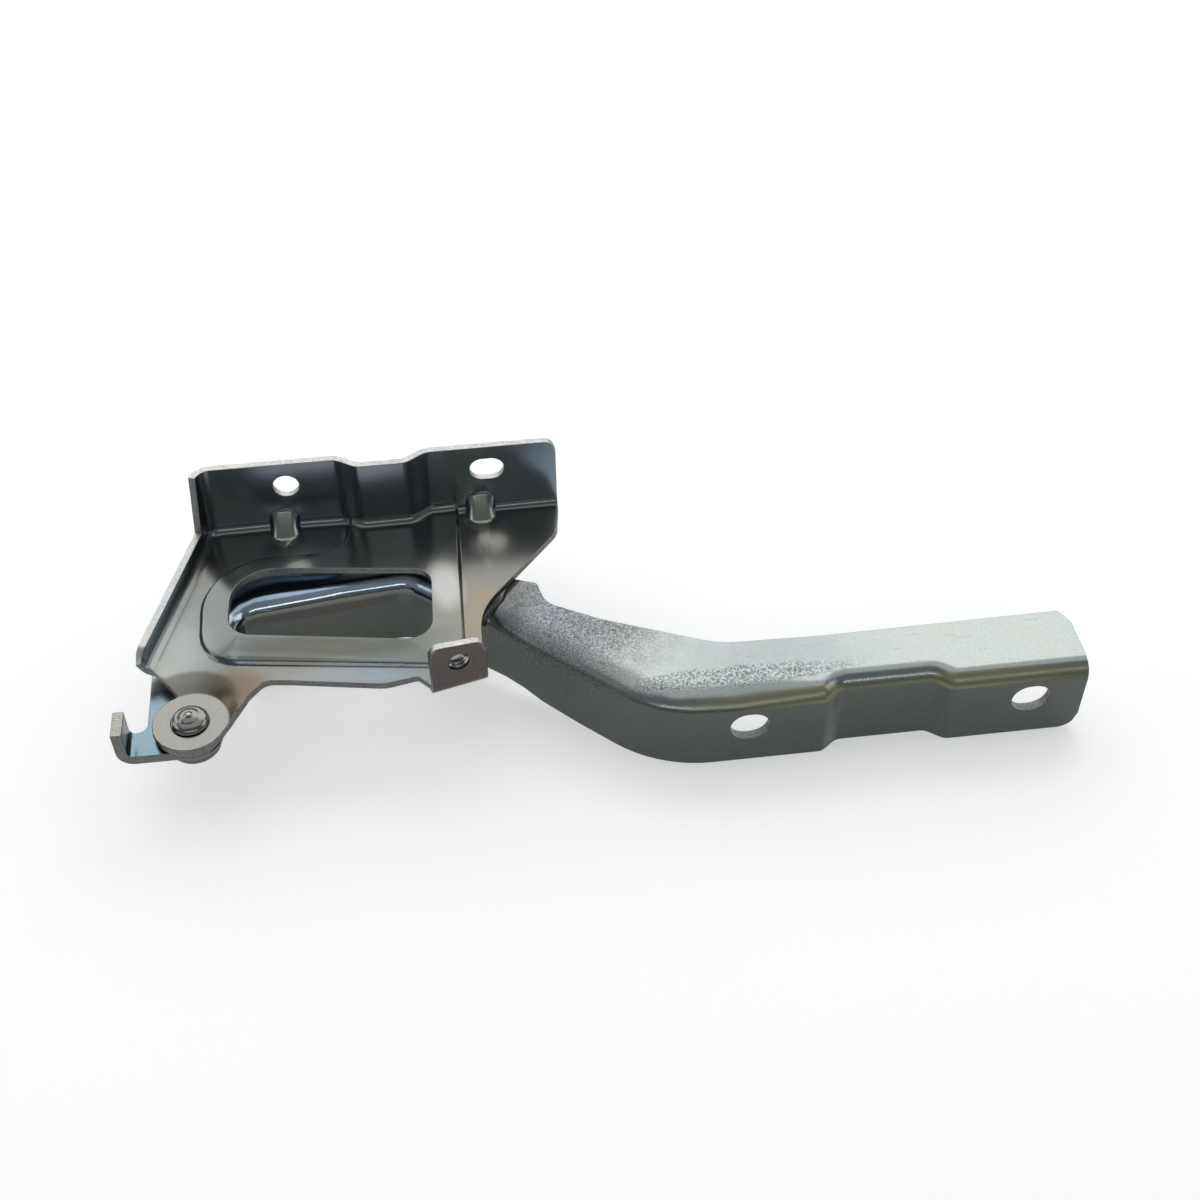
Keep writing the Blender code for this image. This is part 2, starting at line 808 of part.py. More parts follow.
zinc = steel("zinc plated bracket", (0.42, 0.42, 0.38), 0.32)
armZinc = steel("zinc plated arm", (0.40, 0.43, 0.41), 0.38)
bright = steel("bright rivet steel", (0.62, 0.61, 0.58), 0.22)
bronze = steel("bronze bush", (0.52, 0.36, 0.18), 0.35)

makeBracket(zinc)
makeArm(armZinc)
makeRivet(bright)
washer("thrust_washer", shankRadius + fit, thrustRadius, thrustTop, thrustSheet, bronze)
washer("backing_washer", shankRadius + fit, backingRadius, backingTop, backingSheet, bright)
washer("pivot_bush", shankRadius + fit, bushRadius, armTop, armSheet, bronze)
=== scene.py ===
from math import pi, radians, sin

import bmesh
import bpy
from mathutils import Euler, Matrix, Vector


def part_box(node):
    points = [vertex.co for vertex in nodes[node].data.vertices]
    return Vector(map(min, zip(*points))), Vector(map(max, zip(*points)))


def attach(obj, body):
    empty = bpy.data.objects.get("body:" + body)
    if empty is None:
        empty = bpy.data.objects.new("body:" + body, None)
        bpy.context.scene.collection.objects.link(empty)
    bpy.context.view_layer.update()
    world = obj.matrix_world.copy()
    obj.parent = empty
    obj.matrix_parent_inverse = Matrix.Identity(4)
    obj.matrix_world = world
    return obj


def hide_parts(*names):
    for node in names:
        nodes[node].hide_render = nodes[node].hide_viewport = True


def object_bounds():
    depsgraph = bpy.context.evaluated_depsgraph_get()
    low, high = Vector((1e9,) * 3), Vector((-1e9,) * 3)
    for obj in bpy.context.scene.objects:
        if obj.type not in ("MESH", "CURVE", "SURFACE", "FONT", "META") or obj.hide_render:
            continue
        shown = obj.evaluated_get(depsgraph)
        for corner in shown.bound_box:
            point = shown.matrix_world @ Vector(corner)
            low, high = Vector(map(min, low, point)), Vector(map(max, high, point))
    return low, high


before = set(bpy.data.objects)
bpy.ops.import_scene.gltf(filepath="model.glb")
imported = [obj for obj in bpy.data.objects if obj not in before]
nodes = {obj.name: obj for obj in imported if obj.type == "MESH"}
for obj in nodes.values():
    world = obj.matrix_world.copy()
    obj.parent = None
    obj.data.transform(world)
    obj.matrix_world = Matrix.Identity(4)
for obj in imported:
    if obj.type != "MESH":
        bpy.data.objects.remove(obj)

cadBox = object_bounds()
print("frame loaded:", ", ".join(sorted(nodes)))

# View of the photograph, fitted to the bracket's and the arm's edges.
photoView = {
    "place": (0.08971, -0.35047, 0.40166),
    "turn": 6.71,  # degrees to the right of +Y
    "tilt": 44.98,  # degrees below the horizon
    "roll": -0.60,
    "lens": 48.8,
    "sensor": 36.0,
    "clip": (0.01, 20.0),
}

camera = bpy.data.objects.new("camera", bpy.data.cameras.new("camera"))
bpy.context.scene.collection.objects.link(camera)
bpy.context.scene.camera = camera
camera.data.lens = photoView["lens"]
camera.data.sensor_width = photoView["sensor"]
camera.data.clip_start, camera.data.clip_end = photoView["clip"]
aim = Euler((radians(90.0 - photoView["tilt"]), 0.0, -radians(photoView["turn"])))
camera.matrix_world = (
    Matrix.Translation(photoView["place"])
    @ aim.to_matrix().to_4x4()
    @ Matrix.Rotation(radians(photoView["roll"]), 4, "Z")
)
bpy.context.scene.view_settings.view_transform = "Standard"
print("camera placed")


# Node helpers. Where they take a value, they take another node's output as well.
def addNode(tree, kind, place, **values):
    node = tree.nodes.new(kind)
    node.location = place
    for name, value in values.items():
        setattr(node, name, value)
    return node


def feed(tree, value, socket):
    if isinstance(value, bpy.types.NodeSocket):
        tree.links.new(value, socket)
    else:
        socket.default_value = value


def newGroup(name, inputs, outputs):
    tree = bpy.data.node_groups.new(name, "ShaderNodeTree")
    for label, kind, value in inputs:
        socket = tree.interface.new_socket(label, in_out="INPUT", socket_type=kind)
        socket.default_value = value
    for label, kind in outputs:
        tree.interface.new_socket(label, in_out="OUTPUT", socket_type=kind)
    source = addNode(tree, "NodeGroupInput", (-1400, 0))
    sink = addNode(tree, "NodeGroupOutput", (900, 0))
    return tree, source, sink


def mathNode(tree, operation, place, first, second=None, third=None):
    node = addNode(tree, "ShaderNodeMath", place, operation=operation)
    for slot, value in enumerate((first, second, third)):
        if value is not None:
            feed(tree, value, node.inputs[slot])
    return node.outputs[0]


def mixColour(tree, place, factor, first, second, blend="MIX"):
    node = addNode(tree, "ShaderNodeMix", place, data_type="RGBA", blend_type=blend)
    for slot, value in ((0, factor), (6, first), (7, second)):
        feed(tree, value, node.inputs[slot])
    return node.outputs[2]


def mixValue(tree, place, factor, first, second):
    node = addNode(tree, "ShaderNodeMix", place, data_type="FLOAT")
    for slot, value in ((0, factor), (2, first), (3, second)):
        feed(tree, value, node.inputs[slot])
    return node.outputs[0]


def noiseNode(tree, place, vector, scale, detail=2.0, roughness=0.5):
    node = addNode(tree, "ShaderNodeTexNoise", place)
    node.inputs["Scale"].default_value = scale
    node.inputs["Detail"].default_value = detail
    node.inputs["Roughness"].default_value = roughness
    tree.links.new(vector, node.inputs["Vector"])
    return node.outputs["Fac"]


def rampNode(tree, place, factor, low, high):
    # Smooth ramp from 0 at low to 1 at high.
    node = addNode(tree, "ShaderNodeMapRange", place, interpolation_type="SMOOTHSTEP")
    tree.links.new(factor, node.inputs["Value"])
    feed(tree, low, node.inputs["From Min"])
    feed(tree, high, node.inputs["From Max"])
    return node.outputs["Result"]


def addLayers(tree, row, layers, shares, total):
    # Adds to a value each layer's share.
    for i, (name, share) in enumerate(shares.items()):
        total = mathNode(tree, "MULTIPLY_ADD", (150 * i, row), layers[name], share, total)
    return total


colourSocket = "NodeSocketColor"
valueSocket = "NodeSocketFloat"
vectorSocket = "NodeSocketVector"

# A noise is given as its scale per metre, its detail and its roughness.
spotNoise = (110.0, 3.0, 0.6)


def makeSoftSpot():
    # Mask that is 1 inside an ellipsoid and fades out at its uneven rim.
    tree, source, sink = newGroup(
        "softSpot",
        [
            ("Centre", vectorSocket, (0.0, 0.0, 0.0)),
            ("Reach", vectorSocket, (0.01, 0.01, 0.01)),
            ("Soft", valueSocket, 0.5),
            ("Uneven", valueSocket, 0.2),
        ],
        [("Mask", valueSocket)],
    )
    where = addNode(tree, "ShaderNodeTexCoord", (-1400, -300))
    place = where.outputs["Object"]
    offset = addNode(tree, "ShaderNodeVectorMath", (-1100, 100), operation="SUBTRACT")
    tree.links.new(place, offset.inputs[0])
    tree.links.new(source.outputs["Centre"], offset.inputs[1])
    scaled = addNode(tree, "ShaderNodeVectorMath", (-900, 100), operation="DIVIDE")
    tree.links.new(offset.outputs[0], scaled.inputs[0])
    tree.links.new(source.outputs["Reach"], scaled.inputs[1])
    far = addNode(tree, "ShaderNodeVectorMath", (-700, 100), operation="LENGTH")
    tree.links.new(scaled.outputs[0], far.inputs[0])
    wander = noiseNode(tree, (-1100, -300), place, *spotNoise)
    wander = mathNode(tree, "SUBTRACT", (-900, -300), wander, 0.5)
    shift = mathNode(tree, "MULTIPLY", (-700, -300), wander, source.outputs["Uneven"])
    edge = mathNode(tree, "ADD", (-500, 0), far.outputs["Value"], shift)
    inner = mathNode(tree, "SUBTRACT", (-500, -200), 1.0, source.outputs["Soft"])
    tree.links.new(rampNode(tree, (-200, 0), edge, 1.0, inner), sink.inputs["Mask"])
    return tree


zincNoises = {
    "broad": (28.0, 2.0, 0.55),
    "cloud": (95.0, 3.0, 0.6),
    "fine": (1400.0, 2.0, 0.6),
    "grit": (3200.0, 1.0, 0.5),
    "coarse": (1500.0, 3.0, 0.75),
}
# Each mark rises between two values of a noise, by as much as an input says, and
# multiplies the tone by its tint.
zincMarks = {
    "blue": {"noise": "broad", "rise": (0.45, 0.65), "input": "Patches",
             "tint": (0.66, 0.88, 1.08, 1.0)},
    "warm": {"noise": "cloud", "rise": (0.45, 0.7), "input": "Patches",
             "tint": (1.12, 1.0, 0.84, 1.0)},
    "speck": {"noise": "grit", "rise": (0.55, 0.72), "input": "Speckle",
              "tint": (0.30, 0.31, 0.30, 1.0)},
    "dark": {"noise": "coarse", "rise": (0.52, 0.40), "input": "Grain",
             "tint": (0.30, 0.30, 0.31, 1.0)},
    "bright": {"noise": "coarse", "rise": (0.52, 0.66), "input": "Grain",
               "tint": (1.7, 1.7, 1.7, 1.0)},
}
# Hairlines run at a turn, in degrees from +X.
zincHair = {"turn": 24.0, "scale": (60.0, 2600.0, 60.0), "noise": (1.0, 1.0, 0.5),
            "rise": (0.74, 0.80)}
# Steepness, as the upward part of the normal, between which each tone of the painted light
# and shade by facing fades.
zincTilt = {"level": (0.15, 0.9), "footIn": (0.05, 0.2), "footOut": (0.55, 0.35)}
# What the noises and marks add to the roughness and to the height.
zincRough = {"fine": 0.08, "cloud": 0.08, "speck": 0.2, "dark": 0.15}
zincSmooth = 0.08  # taken off again
zincHeight = {"fine": 0.3, "speck": 0.5, "hair": -0.5, "pits": 2.0}


def makeZincSkin():
    # Passivated zinc with soft patches, coarse grain, speckle and hairlines. Its tone is
    # split by facing, which is painted light and shade: level faces take one tone, upright
    # faces another, and the foot of a bend a third, a painted shade line.
    tree, source, sink = newGroup(
        "zincSkin",
        [
            ("Upper", colourSocket, (0.42, 0.41, 0.37, 1.0)),
            ("Upright", colourSocket, (0.20, 0.23, 0.25, 1.0)),
            ("Turn", colourSocket, (0.20, 0.23, 0.25, 1.0)),
            ("Patches", valueSocket, 0.3),
            ("Grain", valueSocket, 0.0),
            ("Speckle", valueSocket, 0.2),
            ("Rough", valueSocket, 0.3),
        ],
        [("Color", colourSocket), ("Roughness", valueSocket), ("Height", valueSocket)],
    )
    links = tree.links
    given = source.outputs
    where = addNode(tree, "ShaderNodeTexCoord", (-1400, -400))
    place = where.outputs["Object"]
    facing = addNode(tree, "ShaderNodeSeparateXYZ", (-1200, 300))
    links.new(where.outputs["Normal"], facing.inputs[0])
    # Painted light and shade by facing: Upper on level faces, Upright on upright faces, and
    # Turn as a painted shade line at the foot of a bend.
    tilt = mathNode(tree, "ABSOLUTE", (-1050, 300), facing.outputs["Z"])
    level = rampNode(tree, (-900, 300), tilt, *zincTilt["level"])
    toneAndShade = mixColour(tree, (-700, 300), level, given["Upright"], given["Upper"])
    footIn = rampNode(tree, (-900, 550), tilt, *zincTilt["footIn"])
    footOut = rampNode(tree, (-900, 750), tilt, *zincTilt["footOut"])
    foot = mathNode(tree, "MULTIPLY", (-700, 600), footIn, footOut)
    toneAndShade = mixColour(tree, (-550, 400), foot, toneAndShade, given["Turn"])

    layers = {
        name: noiseNode(tree, (-1100, -100 - 200 * i), place, *noise)
        for i, (name, noise) in enumerate(zincNoises.items())
    }
    for i, (name, mark) in enumerate(zincMarks.items()):
        row = -100 - 200 * i
        mask = rampNode(tree, (-800, row), layers[mark["noise"]], *mark["rise"])
        amount = mathNode(tree, "MULTIPLY", (-600, row), mask, given[mark["input"]])
        corner = (-400 + 150 * i, 200)
        toneAndShade = mixColour(tree, corner, amount, toneAndShade, mark["tint"], "MULTIPLY")
        layers[name] = amount

    stretch = addNode(tree, "ShaderNodeMapping", (-1200, -1150))
    stretch.inputs["Rotation"].default_value = (0.0, 0.0, radians(zincHair["turn"]))
    stretch.inputs["Scale"].default_value = zincHair["scale"]
    links.new(place, stretch.inputs["Vector"])
    hair = noiseNode(tree, (-1000, -1150), stretch.outputs["Vector"], *zincHair["noise"])
    layers["hair"] = rampNode(tree, (-800, -1150), hair, *zincHair["rise"])
    layers["pits"] = mathNode(
        tree, "MULTIPLY", (-200, -700), layers["coarse"], given["Grain"]
    )

    rough = addLayers(tree, -200, layers, zincRough, given["Rough"])
    rough = mathNode(tree, "SUBTRACT", (600, -200), rough, zincSmooth)
    height = addLayers(tree, -500, layers, zincHeight, 0.0)
    links.new(toneAndShade, sink.inputs["Color"])
    links.new(rough, sink.inputs["Roughness"])
    links.new(height, sink.inputs["Height"])
    return tree


turnedMarks = {
    "pitch": 9000.0,  # of the rings, in radians per metre
    "wobble": (300.0, 2.0, 0.5),
    "grain": (1800.0, 2.0, 0.6),
    "plain": 0.75,
    "shade": {"grain": 0.3, "rings": 0.15},
    "rough": {"grain": 0.12},
    "height": {"grain": 0.3},
}


def makeTurnedSkin():
    # Turned or upset metal: faint rings round the pivot axis and fine mottling.
    tree, source, sink = newGroup(
        "turnedSkin",
        [
            ("Tone", colourSocket, (0.6, 0.6, 0.58, 1.0)),
            ("Rings", valueSocket, 0.2),
            ("Rough", valueSocket, 0.2),
        ],
        [("Color", colourSocket), ("Roughness", valueSocket), ("Height", valueSocket)],
    )
    links = tree.links
    where = addNode(tree, "ShaderNodeTexCoord", (-1400, -400))
    place = where.outputs["Object"]
    split = addNode(tree, "ShaderNodeSeparateXYZ", (-1200, -200))
    links.new(place, split.inputs[0])
    x, y = split.outputs["X"], split.outputs["Y"]
    across = mathNode(tree, "MULTIPLY", (-1050, -100), x, x)
    across = mathNode(tree, "MULTIPLY_ADD", (-900, -100), y, y, across)
    radius = mathNode(tree, "SQRT", (-750, -100), across)
    wobble = noiseNode(tree, (-1000, -400), place, *turnedMarks["wobble"])
    run = mathNode(tree, "MULTIPLY_ADD", (-600, -200), radius, turnedMarks["pitch"], wobble)
    wave = mathNode(tree, "SINE", (-450, -200), run)
    rings = mathNode(tree, "MULTIPLY", (-300, -200), wave, source.outputs["Rings"])
    grain = noiseNode(tree, (-1000, -650), place, *turnedMarks["grain"])
    layers = {"grain": grain, "rings": rings}
    shade = addLayers(tree, 100, layers, turnedMarks["shade"], turnedMarks["plain"])
    tone = mixColour(tree, (300, 200), 1.0, source.outputs["Tone"], shade, "MULTIPLY")
    rough = addLayers(tree, -300, layers, turnedMarks["rough"], source.outputs["Rough"])
    height = addLayers(tree, -500, layers, turnedMarks["height"], rings)
    links.new(tone, sink.inputs["Color"])
    links.new(rough, sink.inputs["Roughness"])
    links.new(height, sink.inputs["Height"])
    return tree


spotInputs = {"Centre": "at", "Reach": "reach", "Soft": "soft", "Uneven": "uneven"}
softSpot = makeSoftSpot()
zincSkin = makeZincSkin()
turnedSkin = makeTurnedSkin()
print("skins built")

# Depth of the bumps, in metres.
relief = {
    "bracket": 0.00002,
    "arm": 0.00004,
    "sheared": 0.00008,
    "washer": 0.00002,
    "turned": 0.00001,
}


def metalMaterial(name, group, values, depth, stainsAndPaintedLight=()):
    # Principled metal fed by a shared skin group. Each spot changes some of the skin's
    # values inside a soft mask. Some spots are stains and tone, and others are painted
    # light and shade.
    material = bpy.data.materials.new(name)
    material.use_nodes = True
    tree = material.node_tree
    shader = tree.nodes["Principled BSDF"]
    shader.inputs["Metallic"].default_value = 1.0
    skin = addNode(tree, "ShaderNodeGroup", (-600, 200), node_tree=group)
    current = dict(values)
    for i, stainOrPaintedLight in enumerate(stainsAndPaintedLight):
        spot = addNode(tree, "ShaderNodeGroup", (-3600 + 300 * i, -500), node_tree=softSpot)
        for label, key in spotInputs.items():
            spot.inputs[label].default_value = stainOrPaintedLight[key]
        mask = spot.outputs["Mask"]
        for j, (label, value) in enumerate(stainOrPaintedLight["to"].items()):
            spread = mixColour if isinstance(value, tuple) else mixValue
            corner = (-3500 + 300 * i, 200 * j)
            current[label] = spread(tree, corner, mask, current[label], value)
    for label, value in current.items():
        feed(tree, value, skin.inputs[label])
    bumps = addNode(tree, "ShaderNodeBump", (-250, -200))
    bumps.inputs["Strength"].default_value = 1.0
    bumps.inputs["Distance"].default_value = depth
    tree.links.new(skin.outputs["Height"], bumps.inputs["Height"])
    tree.links.new(skin.outputs["Color"], shader.inputs["Base Color"])
    tree.links.new(skin.outputs["Roughness"], shader.inputs["Roughness"])
    tree.links.new(bumps.outputs["Normal"], shader.inputs["Normal"])
    return material


# Sheet pieces: a copy of the solid is merged, then its sheared edges get a small round
# and a finish of their own.
def smoothRegions(bm, sharpAngle):
    # Groups of faces that meet without a sharp edge between them, the largest first.
    seen = set()
    regions = []
    for start in bm.faces:
        if start in seen:
            continue
        seen.add(start)
        queue = [start]
        region = []
        while queue:
            face = queue.pop()
            region.append(face)
            for edge in face.edges:
                if len(edge.link_faces) == 2 and edge.calc_face_angle(0.0) < sharpAngle:
                    for other in edge.link_faces:
                        if other not in seen:
                            seen.add(other)
                            queue.append(other)
        regions.append(region)
    regions.sort(key=lambda faces: -sum(f.calc_area() for f in faces))
    return regions


def distanceTo(point, segments):
    best = float("inf")
    for start, end in segments:
        run = end - start
        share = (point - start).dot(run) / run.length_squared
        best = min(best, (point - start - run * min(max(share, 0.0), 1.0)).length)
    return best


def edgesOf(bm, faces):
    # Edges of these faces, in the mesh's order, so that each run gives the same.
    bm.edges.index_update()
    return sorted({e for f in faces for e in f.edges}, key=lambda e: e.index)


def refineWeb(bm, look):
    # Finer faces on the ramp round the rivet's seat and on the panel round the
    # window, whose rim is drawn up a little. Both skins move alike.
    seat, panel, near = look["seat"], look["panel"], look["near"]
    low, high = Vector(panel["low"]), Vector(panel["high"])

    def onPanel(co, levels):
        inside = low.x < co.x < high.x and low.y < co.y < high.y
        return inside and min(abs(co.z - panel[level]) for level in levels) < near

    def onRamp(face):
        return face.calc_center_median().xy.length < seat["reach"] + seat["margin"]

    rims = [
        [v.co.xy for v in e.verts] for e in bm.edges
        if e.calc_face_angle(0.0) > radians(look["sharp"])
        and all(onPanel(v.co, ("level",)) for v in e.verts)
    ]
    flat = [
        f for f in bm.faces
        if abs(f.normal.z) > look["flat"] and f.calc_center_median().z > look["webAbove"]
    ]
    fine = [
        f for f in flat
        if onRamp(f) or all(onPanel(v.co, ("level", "under")) for v in f.verts)
    ]
    bmesh.ops.subdivide_edges(
        bm, edges=edgesOf(bm, fine), cuts=look["cuts"], use_grid_fill=True
    )
    ramp = seat["reach"] - seat["radius"]
    for vert in bm.verts:
        out = (vert.co.xy.length - seat["radius"]) / ramp
        if 0.0 < out < 1.0 and seat["under"] - near < vert.co.z < seat["top"] + near:
            sunk = seat["depth"] * (1.0 - sin(pi / 2.0 * out))
            upper = vert.co.z > seat["top"] - sunk - seat["sheet"] / 2.0
            vert.co.z = seat["top"] - sunk - (0.0 if upper else seat["sheet"])
        if onPanel(vert.co, ("level", "under")):
            share = 1.0 - distanceTo(vert.co.xy, rims) / panel["width"]
            vert.co.z += panel["rise"] * max(share, 0.0)


def mendFolds(bm, folds):
    # At a joggle's inner corners the bend's sections overlap a little. The short edges
    # of the folded faces there are collapsed.
    for again in range(folds["rounds"]):
        folded = {
            f for e in bm.edges if e.calc_face_angle(0.0) > radians(folds["angle"])
            for f in e.link_faces
        }
        if folded:
            short = edgesOf(bm, folded)
            bmesh.ops.dissolve_degenerate(bm, dist=folds["reach"], edges=short)
    loose = [e for e in bm.edges if not e.link_faces]
    bmesh.ops.delete(bm, geom=loose, context="EDGES")


def lowerApron(bm, apron):
    # The hanging flange reaches lower and further forward where it shows through the
    # bracket's window.
    before, after = apron["left"], apron["right"]
    underside = {
        v for f in bm.faces if f.normal.z < apron["facing"] for v in f.verts
        if v.co.z < apron["hinge"] and before[0] < v.co.x < after[1]
    }
    for vert in underside:
        share = min(
            (vert.co.x - before[0]) / (before[1] - before[0]),
            (after[1] - vert.co.x) / (after[1] - after[0]),
            1.0,
        )
        vert.co.z += (apron["level"] - vert.co.z) * share
        vert.co.y -= apron["forward"] * share


sheetFinish = {"weld": 1e-6, "segments": 2, "weigh": 60}


def dressSheet(look, skin, edge, bore=None):
    # The bore's near-black material, painted shade inside the hole, goes on the faces of
    # the hole that the look names.
    bm = bmesh.new()
    bm.from_mesh(nodes[look["node"]].data)
    bmesh.ops.remove_doubles(bm, verts=bm.verts, dist=sheetFinish["weld"])
    if "seat" in look:
        refineWeb(bm, look)
    if "folds" in look:
        mendFolds(bm, look["folds"])
    if "apron" in look:
        lowerApron(bm, look["apron"])
    group = {}
    for i, region in enumerate(smoothRegions(bm, radians(look["sharp"]))):
        # The two skins come first. A small region is a steep wall of a joggle.
        formed = i < 2 or sum(f.calc_area() for f in region) < look["steepWall"]
        for face in region:
            group[face] = 0 if formed else i
            face.material_index = 0 if formed else 1
    rims = [
        e for e in bm.edges
        if len(e.link_faces) == 2 and group[e.link_faces[0]] != group[e.link_faces[1]]
    ]
    if bore:
        hole = look["hole"]
        axis = Vector(hole["axis"]).normalized()
        for face in bm.faces:
            offset = face.calc_center_median() - Vector(hole["at"])
            inside = (offset - axis * offset.dot(axis)).length < hole["radius"]
            if inside and abs(offset.dot(axis)) < hole["depth"]:
                face.material_index = 2
    bmesh.ops.bevel(
        bm, geom=rims, offset=look["round"], offset_type="OFFSET", profile=0.5,
        segments=sheetFinish["segments"], affect="EDGES", material=-1, clamp_overlap=False,
    )
    bmesh.ops.triangulate(bm, faces=bm.faces)
    mesh = bpy.data.meshes.new(look["name"])
    bm.to_mesh(mesh)
    bm.free()
    for material in (skin, edge, bore):
        if material:
            mesh.materials.append(material)
    mesh.shade_smooth()
    piece = bpy.data.objects.new(look["name"], mesh)
    bpy.context.scene.collection.objects.link(piece)
    weigh = piece.modifiers.new("even shading", "WEIGHTED_NORMAL")
    weigh.mode = "FACE_AREA"
    weigh.weight = sheetFinish["weigh"]
    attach(piece, look["body"])
    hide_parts(look["node"])
    return piece


bracketLook = {
    "name": "stamped_bracket",
    "node": "body_bracket",
    "body": "bracket",
    "slot": "bracket_zinc",
    "sharp": 48.0,  # degrees; edges sharper than this are sheared edges
    "steepWall": 6e-6,  # square metres
    "round": 0.00022,
    "cuts": 4,
    "flat": 0.7,  # least upward part of a web face's normal
    "webAbove": 0.005,
    "near": 0.0002,
    "seat": {"radius": 0.012, "reach": 0.021, "margin": 0.004, "depth": 0.0025,
             "sheet": 0.0025, "top": 0.0143, "under": 0.0093},
    "panel": {"low": (0.010, 0.020), "high": (0.090, 0.068), "level": 0.0159,
              "under": 0.0134, "width": 0.0085, "rise": 0.0011},
    "hole": {"at": (0.085575, 0.004138, 0.0255), "axis": (0.2419, -0.9703, 0.0),
             "radius": 0.0036, "depth": 0.0060},
    "skin": {"Upper": (0.225, 0.225, 0.205, 1.0), "Upright": (0.225, 0.265, 0.295, 1.0),
             "Turn": (0.20, 0.22, 0.24, 1.0), "Patches": 0.32, "Grain": 0.0,
             "Speckle": 0.08, "Rough": 0.22},
    "stainsAndPaintedLight": [
        # Both gussets are painted lighter than the web round them: painted light.
        {"at": (0.0297, 0.0805, 0.017), "reach": (0.006, 0.007, 0.008),
         "soft": 0.3, "uneven": 0.0,
         "to": {"Upper": (0.40, 0.41, 0.34, 1.0), "Upright": (0.34, 0.36, 0.31, 1.0)}},
        {"at": (0.0970, 0.0805, 0.017), "reach": (0.006, 0.007, 0.008),
         "soft": 0.3, "uneven": 0.0,
         "to": {"Upper": (0.40, 0.41, 0.34, 1.0), "Upright": (0.34, 0.36, 0.31, 1.0)}},
        {"at": (-0.006, 0.027, 0.014), "reach": (0.017, 0.026, 0.02),
         "soft": 0.8, "uneven": 0.4,
         "to": {"Upper": (0.34, 0.34, 0.31, 1.0)}},
        {"at": (0.052, 0.0105, 0.014), "reach": (0.034, 0.008, 0.02),
         "soft": 0.8, "uneven": 0.5,
         "to": {"Upper": (0.26, 0.275, 0.28, 1.0)}},
        {"at": (0.095, 0.030, 0.014), "reach": (0.010, 0.026, 0.02),
         "soft": 0.6, "uneven": 0.3,
         "to": {"Upper": (0.26, 0.232, 0.185, 1.0)}},
        # The right side of the panel round the window is painted lighter: painted light.
        {"at": (0.084, 0.046, 0.016), "reach": (0.008, 0.016, 0.01),
         "soft": 0.7, "uneven": 0.2,
         "to": {"Upper": (0.42, 0.42, 0.40, 1.0)}},
        # Dark brown on the ramp round the seat's far side: a brown tone, with painted shade
        # on the slope.
        {"at": (0.013, 0.010, 0.013), "reach": (0.016, 0.013, 0.01),
         "soft": 0.7, "uneven": 0.4,
         "to": {"Upper": (0.175, 0.145, 0.105, 1.0)}},
        {"at": (0.0, 0.0, 0.012), "reach": (0.0122, 0.0122, 0.006),
         "soft": 0.05, "uneven": 0.0,
         "to": {"Upper": (0.29, 0.285, 0.265, 1.0), "Grain": 0.05}},
        # The near part of the panel round the window is painted dark olive: painted shade
        # on its near slope.
        {"at": (0.048, 0.0235, 0.016), "reach": (0.048, 0.009, 0.006),
         "soft": 0.6, "uneven": 0.3,
         "to": {"Upper": (0.165, 0.17, 0.145, 1.0)}},
        {"at": (0.086, 0.001, 0.022), "reach": (0.014, 0.006, 0.016),
         "soft": 0.2, "uneven": 0.1,
         "to": {"Upright": (0.098, 0.083, 0.075, 1.0), "Turn": (0.098, 0.083, 0.075, 1.0),
                "Grain": 0.15}},
    ],
    # Sheared edges: pale where they face up and dark where they face sideways, painted
    # light and shade by facing.
    "edge": {"Upper": (0.68, 0.67, 0.63, 1.0), "Upright": (0.17, 0.17, 0.16, 1.0),
             "Turn": (0.19, 0.19, 0.18, 1.0), "Patches": 0.2, "Grain": 0.3,
             "Speckle": 0.5, "Rough": 0.44},
    # Near black in the tab's hole: painted shade inside the hole.
    "bore": {"Tone": (0.02, 0.02, 0.02, 1.0), "Rings": 0.0, "Rough": 0.25},
}
bracketSkin = metalMaterial(
    "bracketZinc", zincSkin, bracketLook["skin"], relief["bracket"], bracketLook["stainsAndPaintedLight"]
)
bracketEdge = metalMaterial(
    "bracketShearedEdge", zincSkin, bracketLook["edge"], relief["sheared"]
)
tabBore = metalMaterial("tabBoreSteel", turnedSkin, bracketLook["bore"], relief["turned"])
bracket = dressSheet(bracketLook, bracketSkin, bracketEdge, tabBore)
print("bracket dressed:", len(bracket.data.polygons), "faces")

